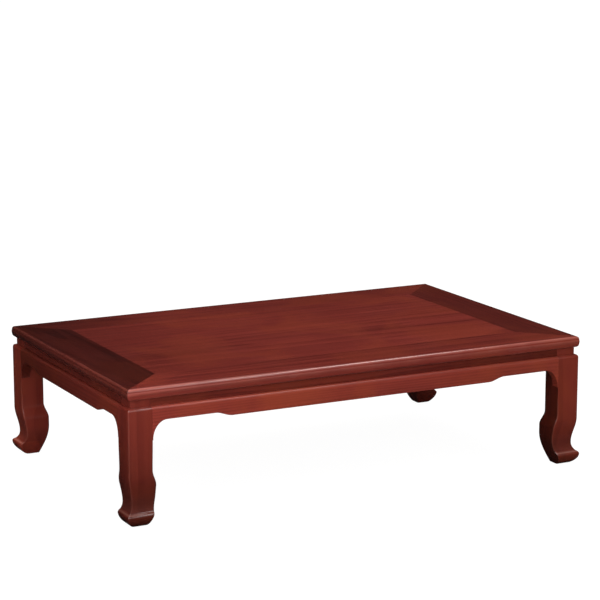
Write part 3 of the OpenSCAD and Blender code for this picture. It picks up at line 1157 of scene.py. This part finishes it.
@dataclass
class Aprons:
    """The four aprons, each with swept ends and a small rise in its lower edge.

    Attributes:
        sizes: The shared sizes.
        groups: The shared effects.
        height: Height of an apron in its middle.
        lift: How much higher its lower edge is near the legs.
        step_at: Distance from the leg to the middle of the rise, on a long and on a short side.
        step_l: Length of the rise.
        sweep_w: Width of a swept end.
        sweep_h: Height of a swept end.
        sweep_tip: Width of the tip of a swept end.
        low_r: Radius of the lower arris.
        groove_w: Width of the groove for the waist.
        groove_h: Depth of the groove.
        eased: Width of the small round on sharp edges.
        curve_steps: Number of facets of a swept end and of the rise.
        arc_steps: Number of facets of the upper arris.
        low_steps: Number of facets of the lower arris.
        top_wear: How worn the upper arris is.
        low_wear: How worn the lower arris is.
    """

    sizes: TableSizes
    groups: WoodGroups
    height: float = 0.042
    lift: float = 0.01
    step_at: tuple[float, float] = (0.177, 0.108)
    step_l: float = 0.044
    sweep_w: float = 0.037
    sweep_h: float = 0.045
    sweep_tip: float = 0.0012
    low_r: float = 0.0014
    groove_w: float = 0.005
    groove_h: float = 0.0055
    eased: float = 0.0003
    curve_steps: int = 20
    arc_steps: int = 10
    low_steps: int = 4
    top_wear: float = 0.7
    low_wear: float = 0.8

    def lower_edge(self, half: float, step_at: float) -> list[tuple[float, float]]:
        """Draws half the lower edge of an apron, from the leg to the middle.

        Args:
            half: Half the length of the apron.
            step_at: Distance from the leg to the middle of the rise.

        Returns:
            The points of the edge, along and up.
        """
        high = self.sizes.waist_z - self.height + self.lift
        tip = high - self.sweep_h
        edge = [(half, tip), (half - self.sweep_tip, tip)]
        for i in range(1, self.curve_steps + 1):
            angle = QUARTER * i / self.curve_steps
            inwards = self.sweep_tip + (self.sweep_w - self.sweep_tip) * (1 - math.cos(angle))
            edge.append((half - inwards, tip + self.sweep_h * math.sin(angle)))
        for i in range(self.curve_steps + 1):
            t = i / self.curve_steps
            along = step_at + self.step_l * (t - 0.5)
            edge.append((half - along, high - self.lift * ease(t)))
        return edge

    def section(self, low: float) -> list[SectionPoint]:
        """Draws the section of an apron whose lower edge is at a height.

        Args:
            low: Height of the lower edge.

        Returns:
            Its points, inwards from the edge of the top and up, with their wear.
        """
        s = self.sizes
        waist_mid = (s.waist_in + s.apron_back) / 2
        near = waist_mid - self.groove_w / 2
        far = waist_mid + self.groove_w / 2
        bottom = s.waist_z - self.groove_h
        low_centre = (s.apron_in + self.low_r, low + self.low_r)
        top_centre = (s.apron_in + s.arris_r, s.waist_z - s.arris_r)
        points = [(s.apron_back, low, 0.0)]
        points += arc(low_centre, self.low_r, 270, 180, self.low_steps, self.low_wear)
        points += arc(top_centre, s.arris_r, 180, 90, self.arc_steps, self.top_wear)
        points += [(near, s.waist_z, 0.0), (near, bottom, 0.0), (far, bottom, 0.0), (far, s.waist_z, 0.0)]
        points.append((s.apron_back, s.waist_z, 0.0))
        return points

    def apron(self, side: int, finish: Material) -> Piece:
        """Builds the apron of a side.

        Args:
            side: The side of the table.
            finish: Its finish.

        Returns:
            The apron.
        """
        s = self.sizes
        name = "apron_" + SIDES[side]
        draft = Draft("swept_" + name, s.on_side(side))
        right = self.lower_edge(s.half_run(side) - s.leg_in, self.step_at[side % 2])
        whole = right + [(-x, z) for x, z in reversed(right)]
        rings = [
            [draft.point(x, inwards, up, worn) for inwards, up, worn in self.section(low)] for x, low in whole
        ]
        draft.skin(rings)
        return draft.finish(finish, "base_wood", [name], self.eased)

    def build(self) -> list[Piece]:
        """Builds the aprons.

        Returns:
            The aprons.
        """
        finishes = [wood.build(self.groups) for wood in APRON_WOODS]
        return [self.apron(side, finishes[side % 2]) for side in range(4)]


@dataclass(frozen=True)
class LegToneAndShade:
    """How light a leg is, partly from its own board and partly as painted light and shade.

    Attributes:
        plain: Its tone.
        foot: How light it is at the floor against that: painted shade below 1 and painted light above it.
        foot_z: Height from which it has its plain tone.
        side: How light its faces across X are against those across Y, a painted shade.
    """

    plain: float
    foot: float
    foot_z: float
    side: float


@dataclass
class Legs:
    """The four square legs with their curled hoof feet.

    Attributes:
        sizes: The shared sizes.
        groups: The shared effects.
        pad_w: Width of the pad on the floor.
        pad_in: Distance from the outer face of the leg to the pad.
        toe_out: How far the toe reaches out past the leg.
        toe_z: Height at which the toe reaches furthest.
        hoof_full: How slowly the hoof rises below the toe. The lower, the fuller it is.
        curl: Points of the outer face from toe to ankle, as height and distance inwards.
        ankle_in: Depth of the ankle.
        ankle_z: Height of the ankle.
        calf_z: Height from which the outer face is straight.
        knee_out: How far the inner face swells out.
        knee_low_z: Height from which the swell is full.
        knee_top_z: Height up to which it is full.
        knee_end_z: Height at which it ends.
        sweep_z: Height of the tips of the aprons.
        corner_r: Radius of the corners.
        toe_corner_r: Radius of the corners at the toe.
        lip_z: Height of the lip of the toe.
        lip_wear_and_highlight_h: Height over which the lip is worn, a band that is also a painted highlight.
        flush_r: Radius of the corners beside the aprons.
        eased: Width of the small round on sharp edges.
        arris_wear: How worn the outer corners are.
        inner_wear: How worn the inner corner is.
        hoof_steps: Number of sections of the hoof.
        hoof_spacing: How much closer they lie at the floor.
        hollow_steps: Number of sections from the toe to the ankle.
        calf_steps: Number of sections from the ankle to the straight part.
        sweep_steps: Number of sections of the straight part.
        arc_steps: Number of facets of the upper arris.
        corner_steps: Number of facets of a corner.
        log_place: Where in the log the first leg was cut.
        log_step: How far along the log the next one was.
        tones: How light each leg is, with its painted light and shade.
    """

    sizes: TableSizes
    groups: WoodGroups
    pad_w: float = 0.031
    pad_in: float = 0.017
    toe_out: float = 0.0055
    toe_z: float = 0.026
    hoof_full: float = 0.6
    curl: tuple[tuple[float, float], ...] = (
        (0.016, -0.003),
        (0.02, -0.0046),
        (0.024, -0.0054),
        (0.027, -0.0053),
        (0.03, -0.0036),
        (0.032, -0.0009),
        (0.034, 0.0021),
        (0.038, 0.0052),
        (0.042, 0.0075),
        (0.048, 0.0091),
        (0.054, 0.0095),
        (0.06, 0.0093),
    )
    ankle_in: float = 0.0095
    ankle_z: float = 0.054
    calf_z: float = 0.118
    knee_out: float = 0.0095
    knee_low_z: float = 0.075
    knee_top_z: float = 0.092
    knee_end_z: float = 0.13
    sweep_z: float = 0.1995
    corner_r: float = 0.0038
    toe_corner_r: float = 0.0024
    lip_z: float = 0.0315
    lip_wear_and_highlight_h: float = 0.003
    flush_r: float = 0.0003
    eased: float = 0.0003
    arris_wear: float = 0.45
    inner_wear: float = 0.4
    hoof_steps: int = 20
    hoof_spacing: float = 1.5
    hollow_steps: int = 24
    calf_steps: int = 40
    sweep_steps: int = 8
    arc_steps: int = 10
    corner_steps: int = 6
    log_place: Point = (0.2, 0.55, 0.4)
    log_step: float = 0.3
    tones: tuple[LegToneAndShade, ...] = (
        LegToneAndShade(0.8, foot=0.42, foot_z=0.3, side=0.96),
        LegToneAndShade(0.81, foot=0.57, foot_z=0.2, side=0.46),
        LegToneAndShade(0.8, foot=0.6, foot_z=0.2, side=1.0),
        LegToneAndShade(0.88, foot=1.08, foot_z=0.2, side=1.0),
    )

    def outer_face(self, z: float) -> float:
        """Finds the outer face of a leg.

        Args:
            z: A height.

        Returns:
            How far inwards the face is there.
        """
        if z < self.curl[1][0]:
            under = 1 - math.sin(QUARTER * z / self.toe_z) ** self.hoof_full
            return (self.pad_in + self.toe_out) * under - self.toe_out
        if z < self.ankle_z:
            return max(follow(self.curl, z), -self.toe_out)
        return self.ankle_in * (1 - ease((z - self.ankle_z) / (self.calf_z - self.ankle_z)))

    def inner_face(self, z: float) -> float:
        """Finds the inner face of a leg.

        Args:
            z: A height.

        Returns:
            How far inwards the face is there.
        """
        pad = self.pad_in + self.pad_w
        if z < self.knee_low_z:
            return pad + (self.sizes.leg_w + self.knee_out - pad) * math.sin(QUARTER * z / self.knee_low_z)
        fall = ease((z - self.knee_top_z) / (self.knee_end_z - self.knee_top_z))
        return self.sizes.leg_w + self.knee_out * (1 - fall)

    def section(self, outer: float, inner: float, radii: tuple[float, float, float]) -> list[SectionPoint]:
        """Draws the section of a leg, a square with rounded corners.

        Args:
            outer: Place of the two outer faces.
            inner: Place of the two inner faces.
            radii: Radius of the outer corner, of the two at the sides and of the inner one.

        Returns:
            Its points, with their wear.
        """
        out_r, side_r, in_r = radii
        steps, worn = self.corner_steps, self.arris_wear
        points = arc((outer + out_r, outer + out_r), out_r, 180, 270, steps, worn)
        points += arc((inner - side_r, outer + side_r), side_r, 270, 360, steps, worn)
        points += arc((inner - in_r, inner - in_r), in_r, 0, 90, steps, self.inner_wear)
        points += arc((outer + side_r, inner - side_r), side_r, 90, 180, steps, worn)
        return points

    def stations(self) -> list[tuple[float, float, float, tuple[float, float, float]]]:
        """Lists the sections of a leg from the floor to the top.

        Returns:
            The height, outer face, inner face and corner radii of each section.
        """
        s = self.sizes
        foot_top = max(self.calf_z, self.knee_end_z)
        spans = (
            (self.toe_z, self.ankle_z, self.hollow_steps),
            (self.ankle_z, foot_top, self.calf_steps),
        )
        found = []
        shares = [i / self.hoof_steps for i in range(self.hoof_steps + 1)]
        heights = [self.toe_z * share**self.hoof_spacing for share in shares]
        for low, high, steps in spans:
            heights += [low + (high - low) * i / steps for i in range(1, steps + 1)]
        for z in heights:
            r = self.toe_corner_r + (self.corner_r - self.toe_corner_r) * ease((z - self.lip_z) / self.toe_z)
            found.append((z, self.outer_face(z), self.inner_face(z), (r, r, self.corner_r)))
        for i in range(1, self.sweep_steps + 1):
            t = i / self.sweep_steps
            z = foot_top + (self.sweep_z - foot_top) * t
            side_r = self.corner_r + (self.flush_r - self.corner_r) * ease(t)
            found.append((z, 0.0, s.leg_w, (self.corner_r, side_r, self.corner_r)))
        for i in range(self.arc_steps + 1):
            angle = QUARTER * i / self.arc_steps
            outer = s.arris_r * (1 - math.cos(angle))
            z = s.waist_z - s.arris_r * (1 - math.sin(angle))
            out_r = max(self.corner_r - outer, 2 * self.flush_r)
            found.append((z, outer, s.leg_w, (out_r, self.flush_r, self.corner_r)))
        post_in = s.waist_in - s.apron_in
        for z in (s.waist_z, s.under_z):
            found.append((z, post_in, s.leg_w, (2 * self.flush_r, self.flush_r, self.corner_r)))
        return found

    def leg(self, corner: int, finish: Material) -> Piece:
        """Builds the leg of a corner.

        Args:
            corner: The corner of the table.
            finish: Its finish.

        Returns:
            The leg.
        """
        s = self.sizes
        name = "leg_" + CORNERS[corner]
        draft = Draft("hoof_" + name, s.at_corner(corner))
        rings = []
        for z, outer, inner, radii in self.stations():
            # Painted highlight: the outer faces are worn in a band at the lip of the toe, which also stands
            # for its highlight.
            lip = max(0.0, 1 - abs(z - self.lip_z) / self.lip_wear_and_highlight_h)
            ring = []
            for x, y, worn in self.section(outer, inner, radii):
                rubbed = max(worn, lip) if min(x, y) < outer + radii[1] / 2 else worn
                ring.append(draft.point(s.apron_in + x, s.apron_in + y, z, rubbed))
            rings.append(ring)
        draft.skin(rings)
        return draft.finish(finish, "leg_wood", [name], self.eased)

    def build(self) -> list[Piece]:
        """Builds the legs.

        Returns:
            The legs.
        """
        pieces = []
        along, across, deep = self.log_place
        for corner, tone in enumerate(self.tones):
            # Painted light and shade on each leg: darker towards the floor, the back left one lighter there,
            # and the front right one much darker on its faces across X.
            wood = replace(
                LEG_WOOD,
                name="lacquered_leg_" + CORNERS[corner],
                tone=tone.plain,
                painted_light_gradient=("Z", 0.0, tone.foot_z, tone.foot),
                side_painted_shade=tone.side,
                offset=(along + self.log_step * corner, across, deep),
            )
            pieces.append(self.leg(corner, wood.build(self.groups)))
        return pieces


@dataclass
class Joinery:
    """The waist strips and the bare pieces under the top, copied from the frame with eased edges.

    Attributes:
        groups: The shared effects.
        eased: Width of the small round on sharp edges.
    """

    groups: WoodGroups
    eased: float = 0.0006

    def copy(self, node: str, name: str, finish: Material, slot: str) -> Piece:
        """Copies a node of the frame.

        Args:
            node: The node.
            name: Name of the new piece.
            finish: Its finish.
            slot: Its material slot.

        Returns:
            The piece.
        """
        draft = Draft(name)
        draft.copy_node(node)
        return draft.finish(finish, slot, [node], self.eased)

    def build(self) -> list[Piece]:
        """Builds the joinery, and gives the loose tongues of the frame their wood.

        Returns:
            Its pieces.
        """
        waists = [wood.build(self.groups) for wood in WAIST_WOODS]
        lengthwise = PlanedWood("planed_lengthwise", Grain.LENGTHWISE).build(self.groups)
        crosswise = PlanedWood("planed_crosswise", Grain.CROSSWISE, offset=(0.3, 0.5, 0.2)).build(self.groups)
        pieces = []
        for side, label in enumerate(SIDES):
            node = "waist_" + label
            pieces.append(self.copy(node, "strip_" + node, waists[side % 2], "base_wood"))
        for node in sorted(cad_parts):
            if node.startswith("spline_"):
                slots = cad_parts[node].data.materials
                slots.clear()
                slots.append(lengthwise)
            elif node.startswith(("batten_", "button_", "corner_block_")) and not node.endswith("screws"):
                across = node.startswith(("batten_", "button_front", "button_back"))
                wood = crosswise if across else lengthwise
                pieces.append(self.copy(node, "planed_" + node, wood, "hidden_wood"))
        return pieces


@dataclass
class Screws:
    """The countersunk screws, each with a cross recess in its head.

    Attributes:
        sizes: The shared sizes.
        shank_d: Diameter of a shank, and radius of a head.
        rim: Width of the round at the rim of a head.
        head_ratio: Depth of a head against the diameter of the shank.
        tip_ratio: Length of a tip against the diameter of the shank.
        recess_arms: Number of arms of a recess.
        recess_depth: Depth of a recess.
        recess_taper: Width of the floor of a recess against its mouth.
        arm_length: Length of an arm.
        arm_half: Half the width of an arm.
        round_steps: Number of facets round a screw.
        block_l: Length of a corner block along an apron.
        block_h: Height of a corner block.
        block_end: Thickness of a block at its ends, and distance of its outer screws from them.
        block_seat: Distance of the heads of these screws from the apron.
        button_end: Distance of the outer buttons from the corners of the top.
        button_room: Gap between a button and the waist.
        button_l: Length of a button.
        button_t: Thickness of a button.
        panel_t: Thickness of the centre panel.
        batten_t: Thickness of a batten.
        batten_end: Distance of a batten's outer screws from the rails.
        apron_screw_l: Length of the screws from the blocks into the aprons.
        leg_screw_l: Length of the screws from the blocks into the legs.
        button_screw_l: Length of the screws of the buttons.
        batten_screw_l: Length of the screws of the battens.
    """

    sizes: TableSizes
    shank_d: float = 0.004
    rim: float = 0.0003
    head_ratio: float = 0.75
    tip_ratio: float = 1.5
    recess_arms: int = 4
    recess_depth: float = 0.0013
    recess_taper: float = 0.82
    arm_length: float = 0.0024
    arm_half: float = 0.00045
    round_steps: int = 32
    block_l: float = 0.084
    block_h: float = 0.026
    block_end: float = 0.012
    block_seat: float = 0.014
    button_end: float = 0.2
    button_room: float = 0.001
    button_l: float = 0.036
    button_t: float = 0.014
    panel_t: float = 0.012
    batten_t: float = 0.024
    batten_end: float = 0.06
    apron_screw_l: float = 0.028
    leg_screw_l: float = 0.07
    button_screw_l: float = 0.024
    batten_screw_l: float = 0.03

    def screw(self, draft: Draft, place: Matrix, length: float) -> None:
        """Adds a screw to a draft, head at the origin of its place and tip at +Z.

        Args:
            draft: The draft.
            place: Where the screw goes.
            length: Its length.
        """
        draft.place = place
        steps = self.round_steps
        angles = [2 * math.pi * i / steps for i in range(steps)]
        rings = []
        for radius, z in (
            (self.shank_d - self.rim, 0.0),
            (self.shank_d, self.rim),
            (self.shank_d / 2, self.shank_d * self.head_ratio),
            (self.shank_d / 2, length - self.shank_d * self.tip_ratio),
        ):
            rings.append([draft.point(radius * math.cos(a), radius * math.sin(a), z) for a in angles])
        draft.skin(rings, capped=False)
        tip = draft.point(0, 0, length)
        for i in range(steps):
            draft.bm.faces.new((rings[-1][i], rings[-1][(i + 1) % steps], tip))
        edges = []
        for loop in (rings[0], self.recess(draft)):
            edges += [draft.bm.edges.get((loop[i], loop[(i + 1) % len(loop)])) for i in range(len(loop))]
        bmesh.ops.triangle_fill(draft.bm, use_beauty=True, use_dissolve=False, edges=edges)

    def recess(self, draft: Draft) -> list[Vert]:
        """Sinks the recess into a screw's head.

        Args:
            draft: The draft, with its place at the head.

        Returns:
            The points of its mouth.
        """
        arm_corners = (
            (self.arm_length, -self.arm_half),
            (self.arm_length, self.arm_half),
            (self.arm_half, self.arm_half),
        )
        mouth: list[Vert] = []
        floor: list[Vert] = []
        for arm in range(self.recess_arms):
            turn = Matrix.Rotation(2 * math.pi * arm / self.recess_arms, 4, "Z")
            for x, y in arm_corners:
                at = turn @ Vector((x, y, 0))
                mouth.append(draft.point(at.x, at.y, 0.0))
                shrunk = [part * self.recess_taper for part in at.xy]
                floor.append(draft.point(*shrunk, self.recess_depth))
        draft.skin([mouth, floor], capped=False)
        draft.bm.faces.new(floor)
        return mouth

    def set_of(self, node: str, places: Sequence[tuple[Matrix, float]], finish: Material) -> Piece:
        """Builds all the screws of a node.

        Args:
            node: The node that they stand for.
            places: The place and length of each.
            finish: Their finish.

        Returns:
            The piece.
        """
        draft = Draft("driven_" + node)
        for place, length in places:
            self.screw(draft, place, length)
        return draft.finish(finish, "screw_steel", [node], 0.0)

    def block_places(self) -> list[tuple[Matrix, float]]:
        """Finds the screws of the corner blocks: two into the aprons and one into the leg at each.

        Returns:
            The place and length of each.
        """
        s = self.sizes
        reach = s.leg_in + self.block_l
        z = s.waist_z - self.block_h / 2
        wing = reach - self.block_end
        head = s.apron_back + self.block_seat
        face = (reach + s.apron_back + self.block_end) / 2
        tilt = Matrix.Rotation(-QUARTER, 4, "Y")
        turns = (
            ((wing, head, z), Matrix.Rotation(QUARTER, 4, "X"), self.apron_screw_l),
            ((head, wing, z), tilt, self.apron_screw_l),
            ((face, face, z), Matrix.Rotation(math.pi / 4, 4, "Z") @ tilt, self.leg_screw_l),
        )
        found = []
        for corner in range(4):
            for place, turn, length in turns:
                found.append((s.at_corner(corner) @ Matrix.Translation(place) @ turn, length))
        return found

    def button_places(self) -> list[tuple[Matrix, float]]:
        """Finds the screws of the buttons.

        Returns:
            The place and length of each.
        """
        s = self.sizes
        inwards = s.apron_back + self.button_room + self.button_l / 2
        found = []
        for side in range(4):
            run = s.half_run(side) - self.button_end
            for x in (-run, 0.0, run) if side % 2 == 0 else (-run, run):
                at = s.on_side(side) @ Matrix.Translation((x, inwards, s.under_z - self.button_t))
                found.append((at, self.button_screw_l))
        return found

    def batten_places(self) -> list[tuple[Matrix, float]]:
        """Finds the screws of the battens.

        Returns:
            The place and length of each.
        """
        s = self.sizes
        opening_l = s.length - 2 * s.rail_w
        run = (s.depth - 2 * s.rail_w) / 2 - self.batten_end
        z = s.height - self.panel_t - self.batten_t
        found = []
        for quarter in (1, 2, 3):
            for y in (-run, 0.0, run):
                at = Matrix.Translation((opening_l * (quarter / 4 - 0.5), y, z))
                found.append((at, self.batten_screw_l))
        return found

    def build(self) -> list[Piece]:
        """Builds the screws.

        Returns:
            Their pieces.
        """
        finish = ZincSteel().build()
        return [
            self.set_of("corner_block_screws", self.block_places(), finish),
            self.set_of("button_screws", self.button_places(), finish),
            self.set_of("batten_screws", self.batten_places(), finish),
        ]


# Studio


@dataclass(frozen=True)
class Softbox:
    """A rectangular studio light.

    Attributes:
        name: Its name.
        place: Where it stands.
        aim: The point that it faces.
        size: Its width and height.
        power: Its power in watts.
        mirrored: Whether it shows in the gloss of the lacquer.
    """

    name: str
    place: Point
    aim: Point
    size: tuple[float, float]
    power: float
    mirrored: bool = True

    def build(self) -> bpy.types.Object:
        """Builds the light.

        Returns:
            The light.
        """
        data = bpy.data.lights.new(self.name, "AREA")
        data.shape = "RECTANGLE"
        data.size, data.size_y = self.size
        data.energy = self.power
        lamp = put(self.name, data)
        lamp.location = self.place
        lamp.rotation_mode = "QUATERNION"
        lamp.rotation_quaternion = (Vector(self.aim) - Vector(self.place)).to_track_quat("-Z", "Y")
        lamp.visible_glossy = self.mirrored
        return lamp


@dataclass(frozen=True)
class SkyGlow:
    """A soft round glow of the room.

    Attributes:
        way: The direction of its middle.
        spread: Cosine of the angle at which it ends.
        gain: Its brightness in the middle.
        mirrored: How much of it shows in the gloss of the lacquer.
    """

    way: Point
    spread: float
    gain: float
    mirrored: float = 1.0

    def add_to(self, s: Shader, direction: Socket, glossy: Socket) -> Socket:
        """Adds the glow to the shader of the room.

        Args:
            s: The shader of the room.
            direction: The direction of the ray.
            glossy: Whether the ray comes from a gloss.

        Returns:
            The brightness of the glow.
        """
        unit = Vector(self.way).normalized()
        dot = s.add("VectorMath", {0: direction, 1: tuple(unit)}, operation="DOT_PRODUCT")
        bright = s.times(s.ramp(dot.outputs["Value"], self.spread, 1.0), self.gain)
        return s.times(bright, s.between(glossy, 1.0, self.mirrored))


SOFTBOXES = (
    Softbox("key_left", (-0.7, -2.0, 2.4), (-0.2, -0.35, 0.27), (0.8, 0.6), 9.0),
    Softbox("front_left", (-0.9, -3.0, 2.2), (0.0, 0.0, 0.2), (1.4, 1.0), 11.5),
    Softbox("front_middle", (0.75, -3.2, 2.0), (0.0, 0.0, 0.2), (0.9, 0.6), 6.5),
    Softbox("front_strip", (0.95, -1.0, 2.45), (0.0, -0.4, 0.3), (1.9, 0.5), 21.0),
    Softbox("back_strip", (-1.1, 1.0, 2.45), (0.0, 0.4, 0.3), (1.6, 0.35), 6.0),
    Softbox("front_near", (-0.45, -1.5, 0.75), (-0.3, -0.37, 0.27), (0.4, 0.4), 1.2, mirrored=False),
    Softbox("front_right", (1.35, -1.9, 0.7), (0.57, -0.37, 0.15), (0.6, 0.5), 2.2, mirrored=False),
    Softbox("front_low", (0.4, -3.2, 0.4), (0.0, 0.0, 0.15), (1.6, 0.5), 10.0, mirrored=False),
    Softbox("left_near", (-1.05, -0.55, 0.3), (-0.6, -0.3, 0.25), (0.2, 0.2), 0.12, mirrored=False),
    Softbox("left_high", (-1.9, -1.5, 1.3), (-0.4, -0.2, 0.2), (0.9, 0.9), 2.8),
    Softbox("left_corner", (-1.35, -1.0, 1.05), (-0.5, -0.3, 0.25), (0.5, 0.5), 2.1),
    Softbox("left_corner_low", (-1.15, -1.05, 0.4), (-0.58, -0.36, 0.2), (0.4, 0.4), 0.9, mirrored=False),
    Softbox("left_side", (-1.25, -0.65, 0.9), (-0.55, -0.3, 0.25), (0.45, 0.45), 2.6),
    Softbox("left_low", (-1.5, -0.7, 0.55), (-0.55, -0.3, 0.2), (0.45, 0.45), 0.9, mirrored=False),
)
GLOWS = (
    SkyGlow((0.1, 0.3, 1.0), 0.8, 5.8, mirrored=0.2),
    SkyGlow((-0.9, -0.5, 0.45), 0.7, 0.39),
    SkyGlow((-0.9, -0.3, 0.9), 0.75, 0.97),
    SkyGlow((0.1, -0.8, 0.6), 0.8, 1.28, mirrored=0.35),
    SkyGlow((0.0, -1.0, 0.3), 0.75, 0.12),
)


@dataclass
class Studio:
    """The pale floor, the soft light and the camera.

    Attributes:
        softboxes: The lights.
        glows: The glows of the room.
        floor_size: Length of a side of the floor.
        camera_place: Where the camera stands.
        camera_turn: How far it turns to the right, in radians.
        camera_tilt: How far it looks down, in radians.
        focal_pixels: Its focal length in pixels of the picture.
        frame_pixels: Width of the picture in pixels.
        sensor: Width of the sensor in millimetres.
        dimmest: Brightness of the room away from the glows.
        room_colour: Colour of the room's light.
    """

    softboxes: Sequence[Softbox] = SOFTBOXES
    glows: Sequence[SkyGlow] = GLOWS
    floor_size: float = 120.0
    camera_place: Point = (-2.44603, -4.82743, 1.52417)
    camera_turn: float = 0.472366
    camera_tilt: float = 0.204775
    focal_pixels: float = 2238.9
    frame_pixels: float = 600.0
    sensor: float = 36.0
    dimmest: float = 0.008
    room_colour: Colour = (1.0, 0.985, 0.97)

    def build_floor(self) -> None:
        """Builds the floor."""
        bm = bmesh.new()
        bmesh.ops.create_grid(bm, x_segments=8, y_segments=8, size=self.floor_size / 2)
        mesh = bpy.data.meshes.new("studio_floor")
        bm.to_mesh(mesh)
        bm.free()
        mesh.materials.append(PaleFloor().build())
        floor = put("studio_floor", mesh)
        floor.visible_glossy = False

    def build_room(self) -> None:
        """Builds the soft light of the room, dim behind the table so that the top stays dark."""
        world = bpy.data.worlds.new("studio")
        bpy.context.scene.world = world
        world.use_nodes = True
        s = Shader(world.node_tree)
        way = s.add("TexCoord").outputs["Generated"]
        light: Socket | float = self.dimmest
        ray = s.add("LightPath").outputs
        for glow in self.glows:
            light = s.plus(light, glow.add_to(s, way, ray["Is Glossy Ray"]))
        room = s.add("Background", {"Color": rgba(self.room_colour), "Strength": light}).outputs[0]
        wall = s.add("Background", {"Color": rgba(WHITE), "Strength": 1.0}).outputs[0]
        seen = s.add("MixShader", {0: ray["Is Camera Ray"], 1: room, 2: wall})
        s.add("OutputWorld", {"Surface": seen.outputs[0]})

    def build_camera(self) -> None:
        """Builds the camera of the photograph."""
        data = bpy.data.cameras.new("camera")
        data.sensor_fit = "HORIZONTAL"
        data.sensor_width = self.sensor
        data.lens = self.focal_pixels / self.frame_pixels * self.sensor
        data.clip_start, data.clip_end = 0.1, 200.0
        camera = put("camera", data)
        camera.location = self.camera_place
        camera.rotation_euler = Euler((QUARTER - self.camera_tilt, 0.0, -self.camera_turn))
        bpy.context.scene.camera = camera

    def build(self) -> None:
        """Builds the studio."""
        scene = bpy.context.scene
        scene.view_settings.view_transform = "Standard"
        scene.view_settings.look = "None"
        self.build_camera()
        self.build_floor()
        self.build_room()
        for softbox in self.softboxes:
            softbox.build()


def main() -> None:
    """Builds the studio and the table, and reports each piece."""
    logging.basicConfig(level=logging.INFO, format="%(name)s: %(message)s")
    Studio().build()
    sizes = TableSizes()
    groups = WoodGroups()
    assemblies = (
        TableTop(sizes, groups),
        Aprons(sizes, groups),
        Legs(sizes, groups),
        Joinery(groups),
        Screws(sizes),
    )
    for assembly in assemblies:
        for piece in assembly.build():
            log.info("%s: %d faces", piece.name, len(piece.data.polygons))


if __name__ == "__main__":
    main()
